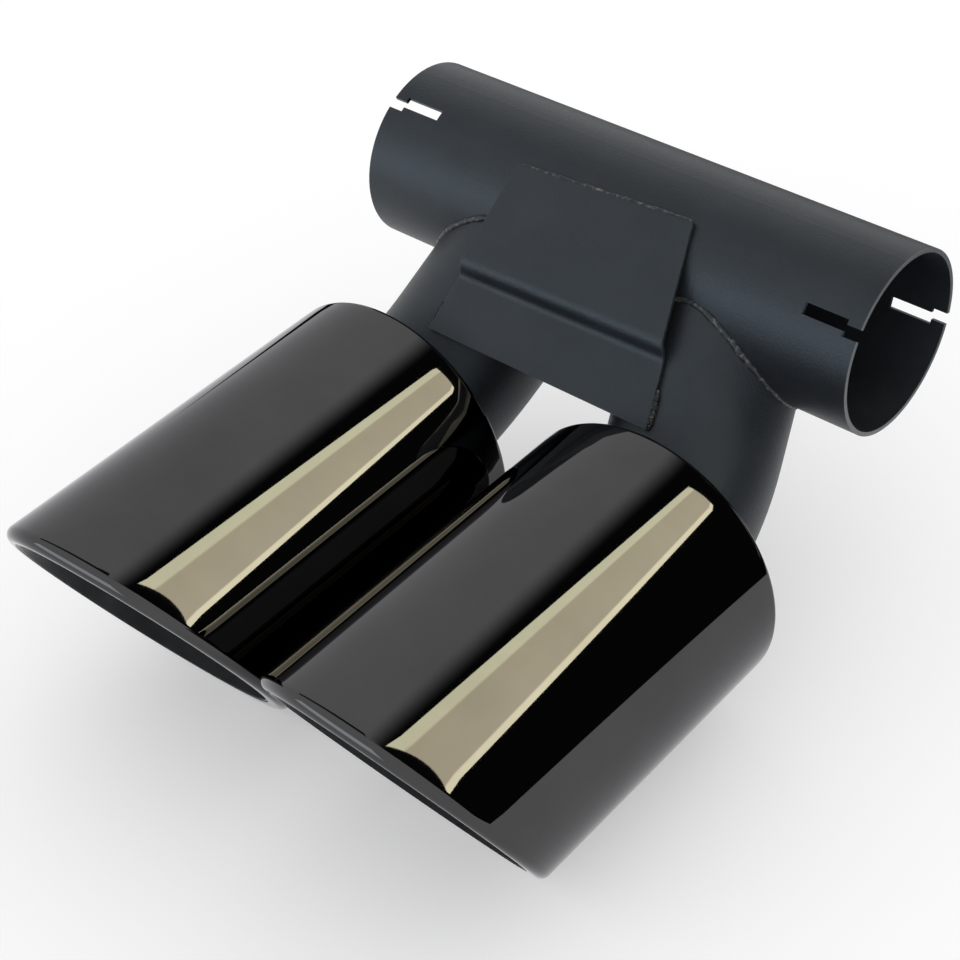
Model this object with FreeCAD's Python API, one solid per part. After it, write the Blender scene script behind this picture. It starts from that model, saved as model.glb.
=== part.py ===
import FreeCAD, Part
import math
import os
from FreeCAD import Vector

os.makedirs("parts", exist_ok=True)

# Twin exhaust tip, in millimetres.
# X runs along the cross tube, -Y points out of the tip mouths, +Z is up.
# The origin is the middle of the cross tube's axis.

# Cross tube with a pair of stepped clamp slots at each end
tube_od = 63.5
tube_wall = 1.5
tube_length = 197.0
slot_width = 3.9
slot_length = 15.0
slot_mouth = 5.5
slot_step = 3.0
right_slot_angles = (39.0, 199.0)
left_slot_angles = (59.5, 239.5)

# Branch pipes: splayed and sloping from the cross tube to a mitre, then a level stub into the tip
branch_od = 57.15
branch_wall = 1.5
branch_start_x = 38.0
branch_start_drop = 3.5
elbow_y = 74.0
stub_end_y = 112.0

# Tips: round, level, square at the rear and slash cut at the front, with the mouths toed in a little
tip_od = 100.0
tip_gap = 9.2
tip_drop = 59.6
tip_wall = 1.2
tip_rear_y = 72.9
tip_front_y = 196.1
slash_angle = 28.7
slash_toe = 2.3
rim_bevel = 3.0
rear_bevel = 1.2

# Liners: from the rim straight back, then a funnel down to a neck on the branch pipe
lip_width = 5.5
liner_wall = 1.2
neck_length = 11.0
funnel_length = 12.0

# Brace plate: tangent on the cross tube, stepped down on the crowns of the branch pipes
plate_thick = 1.8
plate_overhang = 1.0
plate_length = 63.0
plate_inset = 2.5
joggle_start = 35.0
joggle_radius = 6.5
joggle_angle = 50.0

# Values that follow from the sizes above
tube_r = tube_od / 2
branch_r = branch_od / 2
tip_r = tip_od / 2
tip_x = tip_r + tip_gap / 2
slash_tan = math.tan(math.radians(slash_angle))
toe_tan = math.tan(math.radians(slash_toe))
fall = tip_drop - branch_start_drop
slope = math.atan2(fall, elbow_y)
slope_run = math.hypot(elbow_y, fall)
splay = (tip_x - branch_start_x) / slope_run
axis_drop = branch_start_drop * math.cos(slope)
liner_r = tip_r - lip_width
SIDES = {"left": -1, "right": 1}


def round_bar(radius, start, direction, length):
    """A solid cylinder from a start point along a direction."""
    return Part.makeCylinder(radius, length, start, direction)


def clamp_slot(side, angle):
    """Cutter for one stepped slot: a long inner part, and a short mouth turned a little round the tube."""
    reach = 4 * tube_wall
    end = tube_length / 2
    inner = Part.makeBox(slot_length + 0.5, reach, slot_width)
    inner.translate(Vector(end - slot_mouth - slot_length, -tube_r - reach / 2, -slot_width / 2))
    mouth = Part.makeBox(slot_mouth + 1, reach, slot_width)
    mouth.translate(Vector(end - slot_mouth, -tube_r - reach / 2, -slot_width / 2))
    mouth.rotate(Vector(0, 0, 0), Vector(1, 0, 0), slot_step)
    cutter = inner.fuse(mouth)
    if side < 0:
        cutter = cutter.mirror(Vector(0, 0, 0), Vector(1, 0, 0))
        cutter.rotate(Vector(0, 0, 0), Vector(1, 0, 0), -slot_step)
    cutter.rotate(Vector(0, 0, 0), Vector(1, 0, 0), -angle)
    return cutter


def branch_bars(side, radius, overrun):
    """Solid bars along a branch: the sloping pipe and the level stub, mitred where their axes meet."""
    start = Vector(side * branch_start_x, 0, -branch_start_drop)
    corner = Vector(side * tip_x, -elbow_y, -tip_drop)
    inward = (corner - start).normalize()
    level = Vector(0, -1, 0)
    across = (inward + level).normalize()
    before = round_bar(4 * radius, corner - across * tube_length, across, tube_length)
    after = round_bar(4 * radius, corner, across, tube_length)
    sloping = round_bar(radius, start, inward, start.distanceToPoint(corner) + radius)
    stub = round_bar(radius, corner - level * radius, level, stub_end_y - elbow_y + radius + overrun)
    return sloping.common(before), stub.common(after)


def slash_wedge(side, front):
    """A block round the tip's axis whose front is the slash plane: it leans back downward and toes in."""
    half = tip_r + 10
    swing = side * toe_tan * half
    corners = [
        Vector(-half, swing, -half),
        Vector(-half, swing, half),
        Vector(-half, swing - front - half * slash_tan, half),
        Vector(-half, swing - front + half * slash_tan, -half),
    ]
    return Part.Face(Part.makePolygon(corners + corners[:1])).extrude(Vector(2 * half, -2 * swing, 0))


def tip_solid(side, inset):
    """The tip as a filled bar, drawn in by an inset, with its slash cut bevelled, and its back if whole."""
    rear = tip_rear_y + inset
    front = tip_front_y - inset * math.sqrt(1 + slash_tan ** 2 + toe_tan ** 2)
    bar = round_bar(tip_r - inset, Vector(0, -rear, 0), Vector(0, -1, 0), front + tip_r)
    solid = bar.common(slash_wedge(side, front)).Solids[0]
    rim = [edge for edge in solid.Edges if isinstance(edge.Curve, Part.Ellipse)]
    solid = solid.makeChamfer(rim_bevel - inset * (2 - math.sqrt(2)), rim)
    if inset == 0:
        back = [edge for edge in solid.Edges if isinstance(edge.Curve, Part.Circle)]
        solid = solid.makeChamfer(rear_bevel, back)
    solid.translate(Vector(side * tip_x, 0, -tip_drop))
    return solid


def tip_shell(side):
    """Outer wall of a tip: thin, open inside the lip, with a hole in the rear face for the branch pipe."""
    hollow = tip_solid(side, tip_wall)
    mouth_start = Vector(side * tip_x, -stub_end_y, -tip_drop)
    mouth = round_bar(liner_r, mouth_start, Vector(0, -1, 0), tip_front_y)
    sloping, stub = branch_bars(side, branch_r, 0)
    return tip_solid(side, 0).cut(hollow).cut(mouth).cut(sloping).cut(stub)


def tip_liner(side):
    """Inner wall of a tip: a turned profile trimmed flush with the slash-cut rim."""
    neck = stub_end_y - neck_length
    funnel = stub_end_y + 2
    barrel = funnel + funnel_length
    front = tip_front_y + tip_od * slash_tan
    outer = [
        (neck, branch_r + liner_wall),
        (funnel, branch_r + liner_wall),
        (barrel, liner_r),
        (front, liner_r),
    ]
    inner = [(y, radius - liner_wall) for y, radius in reversed(outer)]
    points = [Vector(side * tip_x + radius, -y, -tip_drop) for y, radius in outer + inner]
    profile = Part.Face(Part.makePolygon(points + points[:1]))
    turned = profile.revolve(Vector(side * tip_x, 0, -tip_drop), Vector(0, -1, 0), 360)
    trim = slash_wedge(side, tip_front_y)
    trim.translate(Vector(side * tip_x, 0, -tip_drop))
    return turned.common(trim)


def plate_side(offset, high, low):
    """One face of the brace plate as seen from its edge, at an offset from the sheet's middle."""
    bend = math.radians(joggle_angle)
    straight = (high - low - 2 * joggle_radius * (1 - math.cos(bend))) / math.sin(bend)
    first = joggle_start
    second = first + 2 * joggle_radius * math.sin(bend) + straight * math.cos(bend)

    def bend_point(along, height, angle, sign):
        radius = joggle_radius + sign * offset
        return Vector(0, -along - sign * radius * math.sin(angle), height + sign * radius * math.cos(angle))

    upper = [bend_point(first, high - joggle_radius, bend * k / 2, 1) for k in range(3)]
    lower = [bend_point(second, low + joggle_radius, bend * k / 2, -1) for k in (2, 1, 0)]
    top = Vector(0, plate_overhang, high + offset)
    bottom = Vector(0, -plate_length, low + offset)
    return top, upper, lower, bottom


def brace_plate():
    """Bent sheet: drawn level from its edge, cut to the splay of the pipes, then tilted to their slope."""
    crown = math.sqrt(branch_r ** 2 - plate_inset ** 2) - axis_drop
    high = tube_r + plate_thick / 2
    low = crown + plate_thick / 2
    faces = [plate_side(offset, high, low) for offset in (-plate_thick / 2, plate_thick / 2)]
    edges = []
    for top, upper, lower, bottom in faces:
        edges.append(Part.makeLine(top, upper[0]))
        edges.append(Part.Arc(*upper).toShape())
        edges.append(Part.makeLine(upper[2], lower[0]))
        edges.append(Part.Arc(*lower).toShape())
        edges.append(Part.makeLine(lower[2], bottom))
    edges.append(Part.makeLine(faces[0][0], faces[1][0]))
    edges.append(Part.makeLine(faces[0][3], faces[1][3]))
    outline = Part.Wire(Part.__sortEdges__(edges))
    sheet = Part.Face(outline).extrude(Vector(tube_length, 0, 0))
    sheet.translate(Vector(-tube_length / 2, 0, 0))

    def half_width(along):
        return branch_start_x + splay * (along - branch_start_drop * math.sin(slope)) - plate_inset

    narrow = half_width(-plate_overhang)
    wide = half_width(plate_length)
    corners = [
        Vector(-narrow, plate_overhang, 0),
        Vector(narrow, plate_overhang, 0),
        Vector(wide, -plate_length, 0),
        Vector(-wide, -plate_length, 0),
    ]
    plan = Part.Face(Part.makePolygon(corners + corners[:1])).extrude(Vector(0, 0, tube_od))
    plate = sheet.common(plan)
    plate.rotate(Vector(0, 0, 0), Vector(1, 0, 0), math.degrees(slope))
    return plate


def cross_tube():
    """Open tube with clamp slots at both ends and an opening under each branch pipe."""
    start = Vector(-tube_length / 2, 0, 0)
    along = Vector(1, 0, 0)
    tube = round_bar(tube_r, start, along, tube_length)
    tube = tube.cut(round_bar(tube_r - tube_wall, start, along, tube_length))
    for side, angles in ((1, right_slot_angles), (-1, left_slot_angles)):
        for angle in angles:
            tube = tube.cut(clamp_slot(side, angle))
        tube = tube.cut(branch_bars(side, branch_r - branch_wall, 0)[0])
    return tube


def branch_pipe(side):
    """Sloping pipe, coped to the outside of the cross tube and mitred at its lower end."""
    outer = branch_bars(side, branch_r, 0)[0]
    inner = branch_bars(side, branch_r - branch_wall, 0)[0]
    saddle = round_bar(tube_r, Vector(-tube_length / 2, 0, 0), Vector(1, 0, 0), tube_length)
    return outer.cut(inner).cut(saddle)


def inlet_stub(side):
    """Level pipe from the mitre into the neck of the liner."""
    return branch_bars(side, branch_r, 0)[1].cut(branch_bars(side, branch_r - branch_wall, 5)[1])


pieces = {"cross_tube": cross_tube(), "brace_plate": brace_plate()}
for name, side in SIDES.items():
    pieces[name + "_branch_pipe"] = branch_pipe(side)
    pieces[name + "_inlet_stub"] = inlet_stub(side)
    pieces[name + "_tip_shell"] = tip_shell(side)
    pieces[name + "_tip_liner"] = tip_liner(side)

for node, shape in pieces.items():
    shape.exportStep("parts/" + node + ".step")
    print(node, len(shape.Solids), "solid", round(shape.Volume), "mm3", shape.isValid())
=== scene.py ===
# %% [markdown]
# # Twin exhaust tip
# Round, slash-cut tips in black chrome sit on sloping branch pipes below a satin black cross tube. The
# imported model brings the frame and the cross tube, whose plain form needs no more. The other pieces get
# their look from fine curves, such as rolled rims, bent pipes and weld beads. Stacked modifiers could
# give some of these, but a surface of two parameters says in a formula what each curve is, so that way is
# used. All lengths are in metres.

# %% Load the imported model
import bpy
import numpy as np
from mathutils import Matrix, Vector


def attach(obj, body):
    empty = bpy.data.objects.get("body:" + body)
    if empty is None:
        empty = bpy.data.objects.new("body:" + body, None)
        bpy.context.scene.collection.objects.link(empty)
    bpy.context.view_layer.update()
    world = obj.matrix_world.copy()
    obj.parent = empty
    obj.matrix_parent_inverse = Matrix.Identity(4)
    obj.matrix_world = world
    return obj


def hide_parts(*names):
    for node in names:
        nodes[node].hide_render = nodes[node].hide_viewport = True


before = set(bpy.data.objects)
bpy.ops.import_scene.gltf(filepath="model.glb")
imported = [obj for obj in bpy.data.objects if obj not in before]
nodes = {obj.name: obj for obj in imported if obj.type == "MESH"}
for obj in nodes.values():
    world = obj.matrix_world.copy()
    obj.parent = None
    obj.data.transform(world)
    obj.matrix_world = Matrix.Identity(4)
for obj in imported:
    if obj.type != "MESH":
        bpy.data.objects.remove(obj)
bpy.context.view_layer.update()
print("nodes:", sorted(nodes))

# %% [markdown]
# ## Shared sizes
# X runs along the cross tube, the mouths face -Y, and Z is up. The tube and the tips have the sizes of
# the construction: a 63.5 mm tube and 100 mm tips. The branch pipes are drawn a little wider and steeper
# than there, as the photo shows them. Their slope could be stated as an angle. Here the two points that a
# pipe's axis joins are named instead, one in the cross tube and one on the axis of a tip, so that both
# ends always fit.

# %% Shared sizes
MM = 0.001
SIDES = {"left": -1.0, "right": 1.0}
tube_r = 31.75 * MM
tube_half = 98.5 * MM
tip_r = 50.0 * MM
branch_r = 29.3 * MM
branch_start = np.array([36.0, 0.0, -2.8]) * MM
branch_corner = np.array([54.6, -60.8, -59.6]) * MM
tip_x = branch_corner[0]
tip_z = branch_corner[2]
run = branch_corner - branch_start
slope = np.arctan2(-run[2], -run[1])
inward = run / np.linalg.norm(run)
print("slope", round(float(np.degrees(slope)), 1), "degrees")

# %% [markdown]
# ## Finishes
# The tube work has a satin black coating with a fine grain, a little uneven in tone and gloss. The tips
# are black chrome, a dark mirror with a faint haze. The liners are a satin black. The weld beads have the
# coating too, with light flecks. A picture could be wrapped round each piece, but noise over object
# coordinates needs no unwrapping and has no seams, so each finish mixes such noise into its colour,
# roughness and bump.

# %% Shader helpers
def new_node(material, kind, **values):
    """Adds a shader node and sets its named inputs."""
    node = material.node_tree.nodes.new(kind)
    for key, value in values.items():
        node.inputs[key].default_value = value
    return node


def shader_of(material):
    """The inputs of a finish's main shader."""
    return material.node_tree.nodes["Principled BSDF"].inputs

# %% Finish builder
def grained(name, dark, light, spread, metallic, rough, patch, grain, bump):
    """A finish of two noises. Its colour goes from dark to light as the coarse one crosses its spread.
    The fine one sets its roughness between two limits and lifts its bump."""
    material = bpy.data.materials.new(name)
    material.use_nodes = True
    link = material.node_tree.links.new
    shader = shader_of(material)
    shader["Metallic"].default_value = metallic
    place = new_node(material, "ShaderNodeTexCoord")
    drift = new_node(material, "ShaderNodeTexNoise", Scale=patch, Detail=4.0, Roughness=0.6)
    fine = new_node(material, "ShaderNodeTexNoise", Scale=grain, Detail=3.0, Roughness=0.7)
    share = new_node(material, "ShaderNodeMapRange")
    share.inputs["From Min"].default_value = spread[0]
    share.inputs["From Max"].default_value = spread[1]
    colour = new_node(material, "ShaderNodeMix")
    colour.data_type = "RGBA"
    colour.inputs["A"].default_value = (*dark, 1)
    colour.inputs["B"].default_value = (*light, 1)
    gloss = new_node(material, "ShaderNodeMapRange")
    gloss.inputs["To Min"].default_value = rough[0]
    gloss.inputs["To Max"].default_value = rough[1]
    relief = new_node(material, "ShaderNodeBump", Strength=bump[0], Distance=bump[1])
    link(place.outputs["Object"], drift.inputs["Vector"])
    link(place.outputs["Object"], fine.inputs["Vector"])
    link(drift.outputs["Fac"], share.inputs["Value"])
    link(share.outputs["Result"], colour.inputs["Factor"])
    link(fine.outputs["Fac"], gloss.inputs["Value"])
    link(fine.outputs["Fac"], relief.inputs["Height"])
    link(colour.outputs["Result"], shader["Base Color"])
    link(gloss.outputs["Result"], shader["Roughness"])
    link(relief.outputs["Normal"], shader["Normal"])
    print("finish", name)
    return material

# %% Coating and weld finish
coat = grained(
    "satin_black_coat",
    dark=(0.009, 0.0105, 0.013),
    light=(0.014, 0.016, 0.0195),
    spread=(0.3, 0.7),
    metallic=0.0,
    rough=(0.34, 0.5),
    patch=55.0,
    grain=1300.0,
    bump=(0.5, 0.0003),
)
weld_coat = grained(
    "weld_coat",
    dark=(0.016, 0.017, 0.019),
    light=(0.16, 0.15, 0.14),
    spread=(0.52, 0.72),
    metallic=0.0,
    rough=(0.3, 0.5),
    patch=520.0,
    grain=1500.0,
    bump=(0.4, 0.0004),
)

# %% Chrome and liner finish
chrome = grained(
    "black_chrome",
    dark=(0.062, 0.061, 0.062),
    light=(0.072, 0.071, 0.072),
    spread=(0.3, 0.7),
    metallic=1.0,
    rough=(0.015, 0.04),
    patch=25.0,
    grain=900.0,
    bump=(0.01, 0.00005),
)
soot = grained(
    "liner_black",
    dark=(0.045, 0.047, 0.052),
    light=(0.08, 0.083, 0.09),
    spread=(0.3, 0.7),
    metallic=0.0,
    rough=(0.25, 0.42),
    patch=70.0,
    grain=1100.0,
    bump=(0.1, 0.0001),
)

# %% Sheen of the finishes
coat_sheen = 0.45
coat_tint = (0.76, 0.89, 1.0, 1)
chrome_tint = (0.82, 0.82, 0.84, 1)
for finish in (coat, weld_coat):
    shader_of(finish)["Specular IOR Level"].default_value = coat_sheen
    shader_of(finish)["Specular Tint"].default_value = coat_tint
shader_of(chrome)["Specular Tint"].default_value = chrome_tint
print("tinted:", [finish.name for finish in (coat, weld_coat, chrome)])

# %% [markdown]
# ## Painted highlight on the cross tube's ends
# The tube is cut to length, and its end faces are painted paler than its coated wall: a painted highlight for
# the light that their edges catch. Those faces could get a material of their own, but the tube is an imported
# node whose mesh is left alone. So its finish asks how far a point lies from the middle along X, and paints
# the highlight colour beyond the ends.

# %% Arithmetic in a finish
def add_math(material, operation, *inputs):
    """Adds a step of arithmetic on numbers or sockets and gives back its result."""
    node = new_node(material, "ShaderNodeMath")
    node.operation = operation
    for k, value in enumerate(inputs):
        if isinstance(value, float):
            node.inputs[k].default_value = value
        else:
            material.node_tree.links.new(value, node.inputs[k])
    return node.outputs["Value"]

# %% Painted highlight on the tube's ends
end_skin = 0.1 * MM
# The painted highlight of the end faces: a paler colour that stands in for the light their edges catch.
painted_end_highlight = (0.12, 0.125, 0.13)


def with_painted_ends(material, name, end, colour):
    """A copy of a finish that takes another colour where X, without its sign, is greater than an end."""
    cut = material.copy()
    cut.name = name
    link = cut.node_tree.links.new
    place = new_node(cut, "ShaderNodeTexCoord")
    parts = new_node(cut, "ShaderNodeSeparateXYZ")
    highlight_mix = new_node(cut, "ShaderNodeMix")
    highlight_mix.data_type = "RGBA"
    highlight_mix.inputs["B"].default_value = (*colour, 1)
    tone = shader_of(cut)["Base Color"].links[0].from_socket
    link(place.outputs["Object"], parts.inputs["Vector"])
    reach = add_math(cut, "ABSOLUTE", parts.outputs["X"])
    link(add_math(cut, "GREATER_THAN", reach, end), highlight_mix.inputs["Factor"])
    link(tone, highlight_mix.inputs["A"])
    link(highlight_mix.outputs["Result"], shader_of(cut)["Base Color"])
    return cut


# The cross tube's finish takes the painted highlight beyond its ends, and the other nodes take the plain
# coat.
tube_coat_and_highlight = with_painted_ends(coat, "satin_black_coat_painted_ends", tube_half - end_skin, painted_end_highlight)
for name, node in nodes.items():
    finish = tube_coat_and_highlight if name == "cross_tube" else coat
    if node.data.materials:
        node.data.materials[0] = finish
    else:
        node.data.materials.append(finish)
print("coated nodes:", len(nodes))

# %% [markdown]
# ## Making a mesh from a grid
# Each new piece is a grid of points that two parameters run over, one along the piece and one round it.
# The Spin and Skin tools make such grids too, but here a formula gives all points as one array, and only
# the faces between neighbours are missing. The second parameter always closes on itself, as round a tube.
# The first may close too, as when a wall's outside runs over its rim and back inside. The sign of the
# enclosed volume tells which way the faces point, so they can be turned outward.

# %% Faces of a grid
def grid_quads(rows, columns, closed):
    """Indices of the quads between neighbouring grid points, the columns wrapping round."""
    row = np.arange(rows if closed else rows - 1)[:, None]
    column = np.arange(columns)[None, :]
    next_row = (row + 1) % rows
    next_column = (column + 1) % columns
    corners = [
        row * columns + column,
        row * columns + next_column,
        next_row * columns + next_column,
        next_row * columns + column,
    ]
    return np.stack(np.broadcast_arrays(*corners), axis=-1).reshape(-1, 4)


def enclosed_volume(points, quads):
    """Sum of the signed volumes of the tetrahedra from the middle to each half quad."""
    a, b, c, d = (points[quads[:, k]] - points.mean(0) for k in range(4))
    return np.sum(np.cross(a, b) * c + np.cross(a, c) * d) / 6

# %% Grid surface
def add_surface(name, grid, material, closed=True, sharp=40):
    """One smooth mesh from a grid of points. A grid whose rows stay open gets a flat cap at each end.
    Edges that turn by more than the sharp angle, in degrees, stay crisp."""
    rows, columns = grid.shape[:2]
    points = grid.reshape(-1, 3)
    quads = grid_quads(rows, columns, closed)
    faces = quads.tolist()
    if not closed:
        faces.append(list(range(columns))[::-1])
        faces.append(list(range((rows - 1) * columns, rows * columns)))
    if enclosed_volume(points, quads) < 0:
        faces = [face[::-1] for face in faces]
    mesh = bpy.data.meshes.new(name)
    mesh.from_pydata(points.tolist(), [], faces)
    mesh.shade_smooth()
    mesh.set_sharp_from_angle(angle=np.radians(sharp))
    mesh.materials.append(material)
    piece = bpy.data.objects.new(name, mesh)
    bpy.context.scene.collection.objects.link(piece)
    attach(piece, "root")
    print(name, len(faces), "faces")
    return piece

# %% [markdown]
# ## Tip shells
# A tip's outer wall is a tube with a closed rear face, cut on a slant at the mouth, where its edge is
# rolled in to a smooth lip. A cylinder with a boolean cut and a bevel could give it, but a bevel round a
# slanted cut comes out uneven. So the wall is a profile carried round the tip's axis, and its length
# changes with the angle. The rim is the path of a ball that rolls inside the corner between the barrel
# and the slash plane: its centre keeps one radius from both, and the surface is the arc between the
# directions in which it touches them.

# %% Tip sizes and rings
tip_rear_y = -72.9 * MM
tip_front_y = -196.1 * MM
slash_tan = np.tan(np.radians(28.7))
toe_tan = np.tan(np.radians(2.3))
slant = np.sqrt(1 + slash_tan ** 2 + toe_tan ** 2)
tip_steps = 256
turns = np.linspace(0, 2 * np.pi, tip_steps, endpoint=False)
radial = np.stack([np.cos(turns), np.zeros_like(turns), np.sin(turns)], axis=-1)


def ring(radius, y):
    """A circle of points round the tip's axis; y may change with the angle."""
    points = radius * radial
    points[:, 1] = y
    return points


def slash_y(side, radius):
    """Where the slash plane cuts a circle of this radius, for every angle: it leans down and toes in."""
    return tip_front_y - radius * (slash_tan * radial[:, 2] + side * toe_tan * radial[:, 0])


def between(first, last, count):
    """Evenly spaced rings from one ring to another, without the first."""
    share = np.linspace(0, 1, count + 1)[1:, None, None]
    return first + share * (last - first)


print("tip axis", round(float(tip_rear_y - tip_front_y), 4), "m long, rings of", tip_steps, "points")

# %% Rolled rim
rim_round = 3.2 * MM


def rolled_rim(side, inset):
    """Arcs from the barrel to the slash plane, one per angle, on a ball of the rim's radius: the direction
    from the ball's centre turns evenly from the radial one to the plane's normal."""
    plane_normal = np.array([-side * toe_tan, -1.0, -slash_tan]) / slant
    centre = ring(tip_r - rim_round, slash_y(side, tip_r - rim_round) + rim_round * slant)
    angle = np.arccos(radial @ plane_normal)[None, :, None]
    share = np.linspace(0, 1, 17)[:, None, None]
    away = np.sin((1 - share) * angle) * radial + np.sin(share * angle) * plane_normal
    return centre + (rim_round - inset) * away / np.sin(angle)


print("rim in", len(rolled_rim(1.0, 0.0)), "rings")

# %% Tip shells
tip_wall = 1.2 * MM
rear_round = 2.5 * MM
rear_overlap = 5.0 * MM
lip_width = 5.5 * MM
liner_r = tip_r - lip_width


def shell_face(side, inset):
    """Rings of one face of the wall, from the hole in the rear face to the edge of the lip."""
    corner = rear_round - inset
    hole = ring(branch_r - rear_overlap, tip_rear_y - inset)
    flat = between(hole, ring(tip_r - rear_round, tip_rear_y - inset), 5)
    bends = np.linspace(0, np.pi / 2, 9)[1:]
    edge = [
        ring(tip_r - rear_round + corner * np.sin(b), tip_rear_y - rear_round + corner * np.cos(b))
        for b in bends
    ]
    rim = rolled_rim(side, inset)
    barrel = between(edge[-1], rim[0], 24)
    lip = between(rim[-1], ring(liner_r, slash_y(side, liner_r) + inset * slant), 3)
    return np.concatenate([hole[None], flat, edge, barrel, rim[1:], lip])


for name, side in SIDES.items():
    shell_grid = np.concatenate([shell_face(side, 0.0), shell_face(side, tip_wall)[::-1]])
    shell = add_surface(name + "_shell", shell_grid + [side * tip_x, 0, tip_z], chrome)
    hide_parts(name + "_tip_shell")

# %% [markdown]
# ## Liners
# A liner is the inner wall of a tip: straight behind the lip, then a funnel down to a neck that grips the
# branch pipe. It could be spun from a profile, but a spin can't end in a slanted plane. So it is made
# from rings, as the shell is, and its front edge lies just behind the slash plane, inside the lip.

# %% Liners
liner_wall = 1.2 * MM
liner_gap = 0.02 * MM
mouth_inset = 0.3 * MM
neck_y = -101.0 * MM
funnel_y = -114.0 * MM
barrel_y = -126.0 * MM


def liner_face(side, outward):
    """Rings of one face of the liner, from the neck to the slanted mouth."""
    wide = liner_r - liner_wall + outward
    narrow = branch_r + outward
    neck = [ring(narrow, neck_y), ring(narrow, funnel_y)]
    funnel = between(neck[-1], ring(wide, barrel_y), 10)
    mouth = ring(wide, slash_y(side, wide) + mouth_inset)
    return np.concatenate([neck, funnel, between(funnel[-1], mouth, 8)])


for name, side in SIDES.items():
    liner_grid = np.concatenate([liner_face(side, liner_wall - liner_gap), liner_face(side, 0.0)[::-1]])
    liner = add_surface(name + "_liner", liner_grid + [side * tip_x, 0, tip_z], soot)
    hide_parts(name + "_tip_liner")

# %% [markdown]
# ## Branch pipes
# Each pipe leaves the cross tube along a saddle-shaped seam, slopes down to the tip and bends level as it
# enters the rear face. A curve with a round bevel could draw it, but would start square instead of along
# the saddle. So a circle is carried along the axis, and the first ring is the seam itself: each line
# along the pipe is followed to where its distance from the cross tube's axis is the tube's radius.

# %% Saddle seam
pipe_steps = 240
around = np.linspace(0, 2 * np.pi, pipe_steps, endpoint=False)
level = np.array([0.0, -1.0, 0.0])


def spokes(side, heading):
    """Unit directions round the pipe, square to its heading. The bend's plane keeps them from twisting."""
    hinge = np.cross(inward, level)
    hinge /= np.linalg.norm(hinge)
    lift = np.cross(heading, hinge)
    return (np.cos(around)[:, None] * lift + np.sin(around)[:, None] * hinge) * [side, 1, 1]


def saddle(side, radius):
    """The seam of a pipe of this radius on the cross tube: the larger root of the quadratic that says how far
    along its line each point has the tube's radius."""
    heading = inward * [side, 1, 1]
    origin = branch_start * [side, 1, 1] + radius * spokes(side, inward)
    a = heading[1] ** 2 + heading[2] ** 2
    b = origin[:, 1] * heading[1] + origin[:, 2] * heading[2]
    c = origin[:, 1] ** 2 + origin[:, 2] ** 2 - tube_r ** 2
    return origin + ((-b + np.sqrt(b ** 2 - a * c)) / a)[:, None] * heading


print("seam of", len(saddle(1.0, branch_r)), "points")

# %% Branch pipes
branch_wall = 1.5 * MM
bend_radius = 70.0 * MM
stub_end_y = -112.0 * MM
turning = np.arccos(inward @ level)
tangent = bend_radius * np.tan(turning / 2)


def pipe_face(side, radius):
    """Rings of one face of the pipe, from the seam down the slope, round the bend and level into the tip.
    The bend is an arc about a centre that lies square to the slope, one bend radius from where it starts."""
    bend_start = branch_corner - tangent * inward
    toward = (level - np.cos(turning) * inward) / np.sin(turning)
    centre = bend_start + bend_radius * toward
    seam = saddle(side, radius)
    slope_end = bend_start * [side, 1, 1] + radius * spokes(side, inward)
    bend = []
    for angle in np.linspace(0, turning, 15)[1:]:
        heading = np.cos(angle) * inward + np.sin(angle) * toward
        point = centre + bend_radius * (np.sin(angle) * inward - np.cos(angle) * toward)
        bend.append(point * [side, 1, 1] + radius * spokes(side, heading))
    last = bend[-1].copy()
    last[:, 1] = stub_end_y
    return np.concatenate([seam[None], between(seam, slope_end, 16), bend, between(bend[-1], last, 6)])


pipe_outside = {side: pipe_face(side, branch_r) for side in SIDES.values()}
for name, side in SIDES.items():
    pipe_grid = np.concatenate([pipe_outside[side], pipe_face(side, branch_r - branch_wall)[::-1]])
    pipe = add_surface(name + "_pipe", pipe_grid, coat)
    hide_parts(name + "_branch_pipe", name + "_inlet_stub")

# %% [markdown]
# ## Brace plate
# The plate is one sheet with a joggle, a pair of opposite bends that drops its lower leg onto the pipes.
# A flat mesh with Solidify and Bevel could give it, but its rounded edges would be hard to keep even
# round the bends. So its middle line is traced from the side, and a rounded rectangle as wide as the
# plate is carried along it. The plate widens downward, is turned a little askew in its own plane, and its
# lower edge isn't quite parallel to its upper.

# %% Plate middle line
plate_thick = 1.8 * MM
plate_overhang = 5.0 * MM
plate_length = 60.7 * MM
joggle_start = 32.0 * MM
joggle_radius = 5.0 * MM
joggle_angle = np.radians(50)
axis_drop = -branch_start[2] * np.cos(slope)
crown = branch_r - axis_drop
high = tube_r + plate_thick / 2
low = crown + plate_thick / 2
straight = (high - low - 2 * joggle_radius * (1 - np.cos(joggle_angle))) / np.sin(joggle_angle)
joggle_end = joggle_start + 2 * joggle_radius * np.sin(joggle_angle) + straight * np.cos(joggle_angle)
bend = np.linspace(0, joggle_angle, 13)
bend_run = joggle_radius * np.sin(bend)
bend_drop = joggle_radius * (1 - np.cos(bend))
flat_top = np.linspace(-plate_overhang, joggle_start, 20)[:-1]
flat_leg = np.linspace(joggle_end, plate_length, 12)[1:]
# Each row holds a distance down the slope, the height there and the lean of the sheet.
middle = np.concatenate([
    np.stack([flat_top, np.full_like(flat_top, high), 0 * flat_top], axis=-1),
    np.stack([joggle_start + bend_run, high - bend_drop, bend], axis=-1),
    np.stack([joggle_end - bend_run, low + bend_drop, bend], axis=-1)[::-1],
    np.stack([flat_leg, np.full_like(flat_leg, low), 0 * flat_leg], axis=-1),
])
print("the joggle drops", round(float(high - low), 4), "m")

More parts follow.
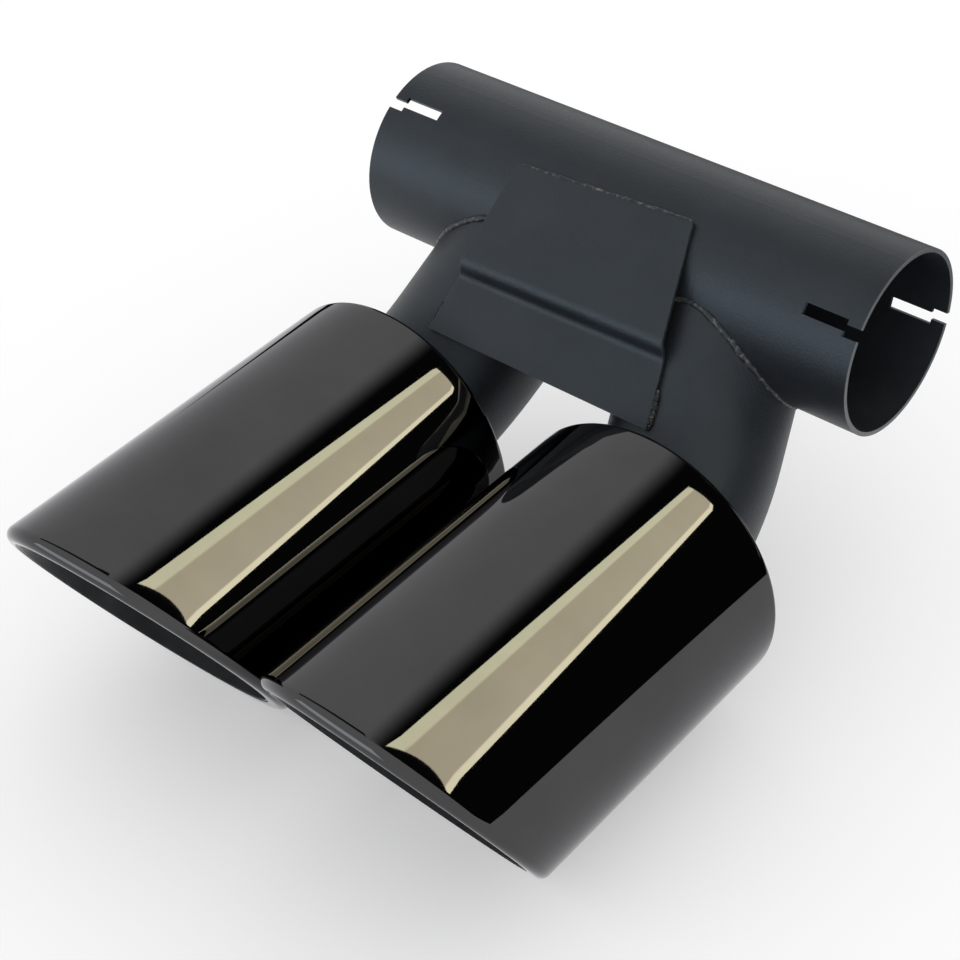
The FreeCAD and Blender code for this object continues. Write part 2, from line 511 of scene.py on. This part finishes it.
# %% Plate outline
plate_top_half = 35.0 * MM
plate_bottom_half = 45.7 * MM
plate_turn = np.radians(3.2)
plate_fan = 0.055
plate_short = 1.7 * MM


def half_width(along):
    """Half the plate's width at a distance down its slope: it grows evenly from upper to lower edge."""
    share = (along + plate_overhang) / (plate_length + plate_overhang)
    return plate_top_half + share * (plate_bottom_half - plate_top_half)


def tilt(points):
    """Turns points drawn level, with the plate's run along -Y, askew about its foot and down to the slope.
    On the way its cross lines fan out, so that its left side is a little shorter than its right."""
    x, y, z = np.moveaxis(points, -1, 0)
    share = (plate_overhang - y) / (plate_length + plate_overhang)
    y = y - share * (plate_fan * x - plate_short) + plate_length
    x, y = x * np.cos(plate_turn) - y * np.sin(plate_turn), x * np.sin(plate_turn) + y * np.cos(plate_turn)
    y = y - plate_length
    forward = y * np.cos(slope) - z * np.sin(slope)
    upward = y * np.sin(slope) + z * np.cos(slope)
    return np.stack([x, forward, upward], axis=-1)


print("lower edge", round(float(2 * half_width(plate_length)), 4), "m wide")

# %% Plate
edge_round = 0.5 * MM
corner_turn = np.linspace(0, np.pi / 2, 5)
quadrant = np.stack([np.cos(corner_turn), np.sin(corner_turn)], axis=-1) * edge_round
rise = np.array([0, plate_thick / 2 - edge_round])
# The four rounded corners of the section, in order round it, before they are moved out to the sides.
loop = np.concatenate([
    quadrant + rise,
    quadrant[::-1] * [-1, 1] + rise,
    quadrant * [-1, -1] - rise,
    quadrant[::-1] * [1, -1] - rise,
])
side_sign = np.repeat([1.0, -1.0, -1.0, 1.0], len(quadrant))
reach = half_width(middle[:, 0]) - edge_round
across = side_sign * reach[:, None] + loop[:, 0]
lean = middle[:, 2][:, None]
along = middle[:, 0][:, None] + np.sin(lean) * loop[:, 1]
height = middle[:, 1][:, None] + np.cos(lean) * loop[:, 1]
plate_grid = tilt(np.stack([across, -along, height], axis=-1))
plate = add_surface("plate", plate_grid, coat, closed=False)
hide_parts("brace_plate")

# %% [markdown]
# ## Weld beads
# A weld leaves a row of small crescents along a seam. They could be drawn as bumps in a finish, but a
# bead also stands out from its seam, so it is a mesh of its own: a thin round cord whose radius ripples
# along the seam. Each ripple is bent into a crescent by letting its phase depend on the angle round the
# cord, as the pool of a weld leaves it. A slow swell keeps the bead from looking machine made.

# %% Bead builder
bead_pitch = 2.6 * MM
bead_steps = 16
ripple_depth = 0.05
crescent = 1.6
thin_end = 0.15


def bead(name, path, up, radius, closed, pitch=bead_pitch):
    """A rippled cord along a path; up is the direction in which the bead stands out of its seam. Its radius
    is multiplied by a swell of three slow sines, by a taper at open ends, and by a ripple: a sine whose phase
    grows along the path and is held back by the cosine of the angle round the cord."""
    if closed:
        along = np.roll(path, -1, axis=0) - np.roll(path, 1, axis=0)
        length = np.cumsum(np.linalg.norm(path - np.roll(path, 1, axis=0), axis=1))
        taper = np.ones_like(length)
    else:
        along = np.gradient(path, axis=0)
        length = np.concatenate([[0], np.cumsum(np.linalg.norm(np.diff(path, axis=0), axis=1))])
        taper = np.clip(np.minimum(length, length[-1] - length) / (2 * radius), thin_end, 1) ** 0.5
    along /= np.linalg.norm(along, axis=1, keepdims=True)
    out = up - np.sum(up * along, axis=1, keepdims=True) * along
    out /= np.linalg.norm(out, axis=1, keepdims=True)
    aside = np.cross(along, out)
    turn = 2 * np.pi * length / length[-1]
    phase = np.round(length[-1] / pitch) * turn
    round_turn = np.linspace(0, 2 * np.pi, bead_steps, endpoint=False)
    ripple = 1 + ripple_depth * np.sin(phase[:, None] - crescent * np.cos(round_turn))
    swell = 1 + 0.16 * np.sin(5 * turn + 1.0) + 0.12 * np.sin(13 * turn) + 0.08 * np.sin(31 * turn)
    size = (radius * swell * taper)[:, None] * ripple
    upright = np.cos(round_turn)[None, :, None] * out[:, None, :]
    sideways = np.sin(round_turn)[None, :, None] * aside[:, None, :]
    cord = path[:, None, :] + size[..., None] * (upright + sideways)
    return add_surface(name, cord, weld_coat, closed=closed)

# %% Pipe beads
saddle_bead = 1.15 * MM
inlet_bead = 1.2 * MM
seam_detail = 3


def refine(path, times):
    """The same closed path with more points, in straight steps."""
    places = np.arange(len(path) + 1)
    finer = np.arange(len(path) * times) / times
    closed_path = np.concatenate([path, path[:1]])
    return np.stack([np.interp(finer, places, closed_path[:, k]) for k in range(3)], axis=-1)


def rear_crossing(face):
    """Where each line along the pipe passes the plane of the tip's rear face: the last point before the plane
    and the first beyond it are joined by a straight step, which is cut at the plane."""
    column = np.arange(face.shape[1])
    beyond = np.argmax(face[..., 1] < tip_rear_y, axis=0)
    before = face[beyond - 1, column]
    step = face[beyond, column] - before
    return before + ((tip_rear_y - before[:, 1]) / step[:, 1])[:, None] * step


for name, side in SIDES.items():
    seam = saddle(side, branch_r)
    out = spokes(side, inward) + seam * [0, 1, 1] / tube_r
    bead(name + "_saddle_weld", refine(seam, seam_detail), refine(out, seam_detail), saddle_bead, True)
    inlet = rear_crossing(pipe_outside[side])
    away = (inlet - [side * tip_x, tip_rear_y, tip_z]) / branch_r + [0, 1, 0]
    bead(name + "_inlet_weld", refine(inlet, seam_detail), refine(away, seam_detail), inlet_bead, True)

# %% Plate beads
top_bead = 0.8 * MM
top_pitch = 3.1 * MM
top_margin = 1.0 * MM
top_back = 0.3 * MM
top_rise = 0.5 * MM
top_steps = 400
leg_bead = 1.0 * MM
leg_start = plate_length - 13 * MM
leg_end = plate_length - 0.5 * MM
leg_aside = 0.2 * MM
leg_sink = 0.3 * MM
leg_steps = 160
diagonal = 0.7


def tilt_direction(direction, count):
    """A direction drawn level, turned as the plate is, once for each point of a seam: what tilting it gives,
    less what tilting the origin gives."""
    return tilt(np.tile(direction, (count, 1))) - tilt(np.zeros((count, 3)))


span = np.linspace(-1, 1, top_steps)
top_seam = np.stack([
    span * (plate_top_half - top_margin),
    np.full_like(span, plate_overhang + top_back),
    np.full_like(span, tube_r + top_rise),
], axis=-1)
top_up = tilt_direction([0.0, diagonal, diagonal], top_steps)
bead("plate_top_weld", tilt(top_seam), top_up, top_bead, False, top_pitch)
leg = np.linspace(leg_start, leg_end, leg_steps)
for name, side in SIDES.items():
    leg_seam = np.stack([
        side * (half_width(leg) + leg_aside),
        -leg,
        np.full_like(leg, low - leg_sink),
    ], axis=-1)
    leg_up = tilt_direction([side * diagonal, 0.0, diagonal], leg_steps)
    bead(name + "_plate_weld", tilt(leg_seam), leg_up, leg_bead, False)

# %% [markdown]
# ## Camera
# The camera looks from the front right and down at about 40 degrees, through a long lens. It could be
# aimed by eye, but its place was fitted to the photo. The fit gives a turn about one axis and the camera's
# place in the turned frame. Turned back, they give Blender's camera, which looks along its own -Z with Y
# up.

# %% Camera
lens = 82.117
view_turn = Vector((2.1937, 0.7662, -0.4222))
view_shift = Vector((-0.056794, 0.081445, -0.739858))
camera = bpy.data.objects.new("camera", bpy.data.cameras.new("camera"))
bpy.context.scene.collection.objects.link(camera)
bpy.context.scene.camera = camera
camera.data.sensor_width = 36
camera.data.lens = lens
camera.data.clip_start = 0.01
turn = Matrix.Rotation(view_turn.length, 3, view_turn.normalized())
place = Matrix((turn[0], -turn[1], -turn[2])).transposed().to_4x4()
place.translation = turn.transposed() @ view_shift
camera.matrix_world = place
print("camera at", [round(v, 3) for v in camera.location])

# %% [markdown]
# ## Surround and floor
# A plain white surround lights the part evenly, and a pale floor under the tips keeps their shadow. The
# floor could simply be painted lighter, but it would then throw more light up at the part. Instead it
# glows a little, only where the camera or a mirror sees it.

# %% Surround
world = bpy.data.worlds.new("surround")
bpy.context.scene.world = world
world.use_nodes = True
world.node_tree.nodes["Background"].inputs["Color"].default_value = (1, 1, 1, 1)
world.node_tree.nodes["Background"].inputs["Strength"].default_value = 1.0
bpy.context.scene.view_settings.view_transform = "Standard"
print("surround:", world.name)

# %% Floor paint
floor_tone = 0.68
floor_lift = 0.34
floor_paint = bpy.data.materials.new("floor_paint")
floor_paint.use_nodes = True
floor_paint.cycles.emission_sampling = "NONE"
paint = shader_of(floor_paint)
paint["Base Color"].default_value = (floor_tone, floor_tone, floor_tone, 1)
paint["Roughness"].default_value = 1.0
paint["Specular IOR Level"].default_value = 0.0
paint["Emission Color"].default_value = (1, 1, 1, 1)
sight = new_node(floor_paint, "ShaderNodeLightPath").outputs
mirrored = add_math(floor_paint, "MAXIMUM", sight["Is Glossy Ray"], sight["Is Transmission Ray"])
seen = add_math(floor_paint, "MAXIMUM", sight["Is Camera Ray"], mirrored)
lift = add_math(floor_paint, "MULTIPLY", seen, floor_lift)
floor_paint.node_tree.links.new(lift, paint["Emission Strength"])
print("paint:", floor_paint.name)

# %% Floor
floor_reach = 6.0
floor_z = tip_z - tip_r
floor_signs = ((-1, -1), (1, -1), (1, 1), (-1, 1))
floor_corners = [(x * floor_reach, y * floor_reach, floor_z) for x, y in floor_signs]
floor_mesh = bpy.data.meshes.new("floor")
floor_mesh.from_pydata(floor_corners, [], [(0, 1, 2, 3)])
floor_mesh.materials.append(floor_paint)
floor = bpy.data.objects.new("floor", floor_mesh)
bpy.context.scene.collection.objects.link(floor)
print("floor at", round(float(floor_z), 4), "m")

# %% [markdown]
# ## Cards for the reflections
# Black chrome shows little of its own colour, so what it mirrors makes its look. A picture of a room
# could surround the part, but flat cards that only reflections see are easier to place: a warm light
# behind the right of the part with a dark flag beyond it, a dark flag overhead, a cool light low in
# front, and a low flag and a mat on the floor behind. A card's colour follows a ramp across it, so that
# it can end softly.

# %% Points of a card
card_columns = 32
card_rows = 8


def card_grid(corners):
    """Points between four corners, each the corners' mean weighed by its place across and up the card, with
    those places and the quads between the points."""
    across = np.linspace(0, 1, card_columns + 1)[None, :, None]
    up = np.linspace(0, 1, card_rows + 1)[:, None, None]
    low_left, low_right, high_right, high_left = np.array(corners)
    low_edge = (1 - across) * low_left + across * low_right
    high_edge = (1 - across) * high_left + across * high_right
    points = ((1 - up) * low_edge + up * high_edge).reshape(-1, 3)
    places = np.stack(np.broadcast_arrays(across[..., 0], up[..., 0]), axis=-1).reshape(-1, 2)
    row, column = np.meshgrid(np.arange(card_rows), np.arange(card_columns), indexing="ij")
    first = (row * (card_columns + 1) + column).ravel()
    above = first + card_columns + 1
    return points, places, np.stack([first, first + 1, above + 1, above], axis=-1)

# %% Light of a card
def glow(name, strength, stops):
    """A light whose colour follows a ramp across the card."""
    material = bpy.data.materials.new(name)
    material.use_nodes = True
    material.cycles.emission_sampling = "NONE"
    material.node_tree.nodes.clear()
    link = material.node_tree.links.new
    place = new_node(material, "ShaderNodeUVMap")
    parts = new_node(material, "ShaderNodeSeparateXYZ")
    ramp = new_node(material, "ShaderNodeValToRGB")
    light = new_node(material, "ShaderNodeEmission", Strength=strength)
    output = new_node(material, "ShaderNodeOutputMaterial")
    ramp.color_ramp.interpolation = "EASE"
    for k, (position, colour) in enumerate(stops):
        stop = ramp.color_ramp.elements[k] if k < 2 else ramp.color_ramp.elements.new(position)
        stop.position = position
        stop.color = (*colour, 1)
    link(place.outputs["UV"], parts.inputs["Vector"])
    link(parts.outputs["X"], ramp.inputs["Fac"])
    link(ramp.outputs["Color"], light.inputs["Color"])
    link(light.outputs["Emission"], output.inputs["Surface"])
    return material

# %% Card builder
def card(name, corners, strength, stops):
    """A flat card between four corners that glows with a ramp of colours, seen only in reflections."""
    points, places, faces = card_grid(corners)
    mesh = bpy.data.meshes.new(name)
    mesh.from_pydata(points.tolist(), [], faces.tolist())
    mesh.uv_layers.new(name="place").uv.foreach_set("vector", places[faces.ravel()].ravel())
    mesh.materials.append(glow(name, strength, stops))
    piece = bpy.data.objects.new(name, mesh)
    bpy.context.scene.collection.objects.link(piece)
    piece.visible_camera = False
    piece.visible_diffuse = False
    piece.visible_shadow = False
    piece.visible_transmission = False
    print(name, len(faces), "faces")

# %% Cards behind the part
# The direction from the part to these cards, and two directions along them.
facing = np.array([0.502, 0.532, 0.682])
card_x = np.cross([0.0, 1.0, 0.0], facing)
card_x /= np.linalg.norm(card_x)
card_y = np.cross(facing, card_x)


def on_plane(distance, *corners):
    """Points on the plane that faces the part from a distance, from places across and along it."""
    return [distance * facing + u * card_x + v * card_y for u, v in corners]


white = (1, 1, 1)
dark = (0.02, 0.02, 0.021)
cream = (0.98, 0.91, 0.63)
warm_distance = 0.9
warm_strength = 10.0
warm_corners = on_plane(warm_distance, (-0.37, -0.30), (0.51, -0.30), (0.11, 0.028), (-0.19, 0.028))
card("warm_light", warm_corners, warm_strength, [
    (0.0, (0.72, 0.70, 0.48)),
    (1.0, cream),
    (0.19, (0.74, 0.71, 0.48)),
    (0.24, (0.50, 0.45, 0.31)),
    (0.85, (0.52, 0.47, 0.33)),
    (0.89, cream),
])
flag_distance = 1.4
flag_strength = 1.0
flag_corners = on_plane(flag_distance, (-1.1, -0.9), (2.3, -0.9), (2.3, 1.1), (-1.1, 1.1))
card("dark_flag", flag_corners, flag_strength, [(0.0, white), (1.0, dark), (0.16, dark)])

# %% Cards above, in front and on the floor
high_z = 2.0
high_corners = [(1.0, -0.3, high_z), (1.0, 0.58, high_z), (-4.0, 0.58, high_z), (-4.0, -0.3, high_z)]
card("high_flag", high_corners, flag_strength, [(0.0, white), (1.0, dark), (0.6, dark)])
cool = (0.85, 0.93, 1.0)
cool_strength = 3.0
front_y = -1.4
front_corners = [(-2.2, front_y, -0.1), (0.2, front_y, -0.1), (0.2, front_y, 0.55), (-2.2, front_y, 0.55)]
card("front_light", front_corners, cool_strength, [(0.0, cool), (1.0, cool)])
plain_dark = [(0.0, dark), (1.0, dark)]
mat_z = floor_z + 0.5 * MM
mat_corners = [(-0.55, 0.1, mat_z), (0.6, 0.1, mat_z), (0.6, 1.0, mat_z), (-0.55, 1.0, mat_z)]
card("dark_mat", mat_corners, flag_strength, plain_dark)
low_y = 0.105
low_corners = [(0.28, low_y, floor_z), (3.0, low_y, floor_z), (3.0, low_y, 0.1), (0.28, low_y, 0.1)]
card("low_flag", low_corners, flag_strength, plain_dark)
